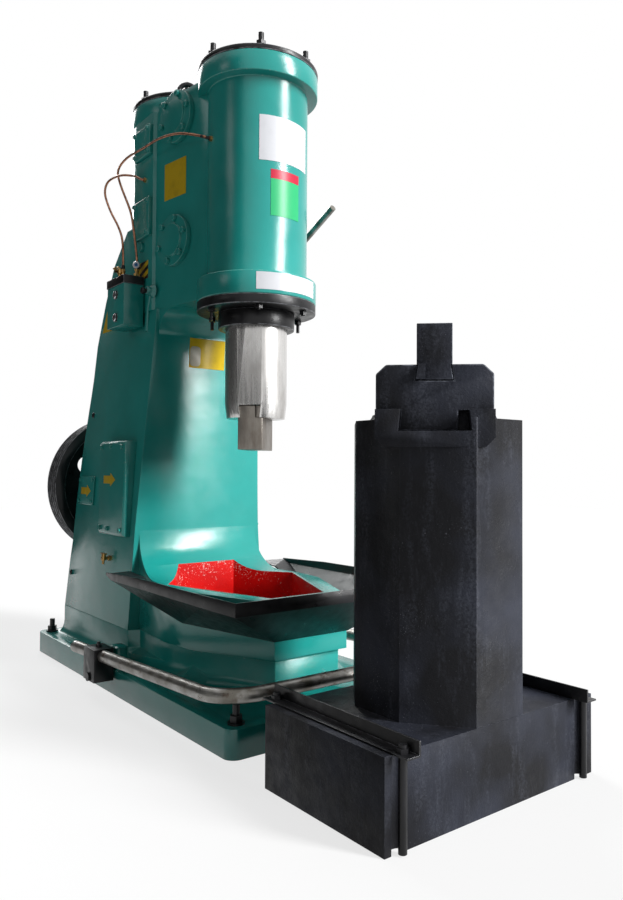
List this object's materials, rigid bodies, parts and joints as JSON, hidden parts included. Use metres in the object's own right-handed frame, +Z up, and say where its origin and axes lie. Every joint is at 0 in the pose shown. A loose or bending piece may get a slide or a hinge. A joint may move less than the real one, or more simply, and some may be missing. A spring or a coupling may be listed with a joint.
{
  "type": "pneumatic forging hammer",
  "caption": "Green C-frame air forging hammer with twin cylinders, hanging ram and die, foot treadle, belt pulley and a separate black anvil with sow block and lower die.",
  "frame": {"origin": "on the underside of the bed plate, on the machine's centre plane, 600 mm behind the ram's axis", "axes": "+Z up along the ram's stroke, -Y towards the front where the anvil stands, +X to the machine's right"},
  "size_m": [1.0668, 2.8025, 2.61],
  "materials": {
    "green_enamel": "glossy green machine enamel over cast iron",
    "black_paint": "black paint, semi-gloss",
    "black_cast_iron": "rough cast iron with black coating",
    "machined_steel": "turned and milled steel, lightly stained",
    "steel_pipe": "worn bare pipe",
    "brass_fittings": "plain brass",
    "copper_tube": "copper tube, slightly tarnished"
  },
  "bodies": {
    "frame": {"bed": "green_enamel", "frame_foot": "green_enamel", "anvil_collar": "green_enamel", "column": "green_enamel", "cylinder_block": "green_enamel", "ram_cylinder": "green_enamel", "ram_cylinder_cover": "black_paint", "compressor_flange": "green_enamel", "compressor_cover": "black_paint", "cover_studs": "black_paint", "lifting_eye": "black_paint", "gland_ring": "black_paint", "gland_collar": "black_paint", "gland_bolts": "machined_steel", "valve_covers": "green_enamel", "side_plates": "green_enamel", "lubricator_box": "green_enamel", "lubricator_lid": "black_paint", "lubricator_fittings": "brass_fittings", "oil_pipe_front": "copper_tube", "oil_pipe_rear": "copper_tube", "oil_unions": "brass_fittings", "access_cover": "green_enamel", "inspection_cover": "green_enamel", "drain_cock": "brass_fittings", "scale_tray": "black_paint", "treadle_pins": "black_paint", "bearing_housing": "green_enamel", "foundation_studs": "black_paint", "anvil": "black_cast_iron", "sow_block": "black_cast_iron", "sow_key": "black_cast_iron", "lower_die": "black_cast_iron", "die_key": "black_cast_iron", "angle_rails": "black_paint", "anvil_rods": "black_paint"},
    "ram_group": {"ram": "machined_steel", "ram_key": "machined_steel", "top_die": "machined_steel"},
    "drive": {"pulley": "black_paint", "crankshaft": "machined_steel"},
    "treadle": {"treadle_pipe": "steel_pipe", "treadle_clamps": "black_paint"},
    "lever": {"hand_lever": "steel_pipe"}
  },
  "joints": [
    {"name": "ram_slide", "type": "slide", "parent": "frame", "child": "ram_group", "axis": [0, 0, 1], "range_m": [-0.26, 0.2]},
    {"name": "pulley_turn", "type": "hinge", "parent": "frame", "child": "drive", "pos_m": [0, 0.76, 0.814], "axis": [0, 1, 0], "continuous": true},
    {"name": "treadle_press", "type": "hinge", "parent": "frame", "child": "treadle", "pos_m": [0, -0.21, 0.078], "axis": [1, 0, 0], "range_deg": [0, 4], "stiffness_Nm_per_rad": 600, "springref_deg": -14.32},
    {"name": "lever_turn", "type": "hinge", "parent": "frame", "child": "lever", "pos_m": [0.335, -0.313, 1.858], "axis": [1, 0, 0], "range_deg": [-25, 25]}
  ]
}
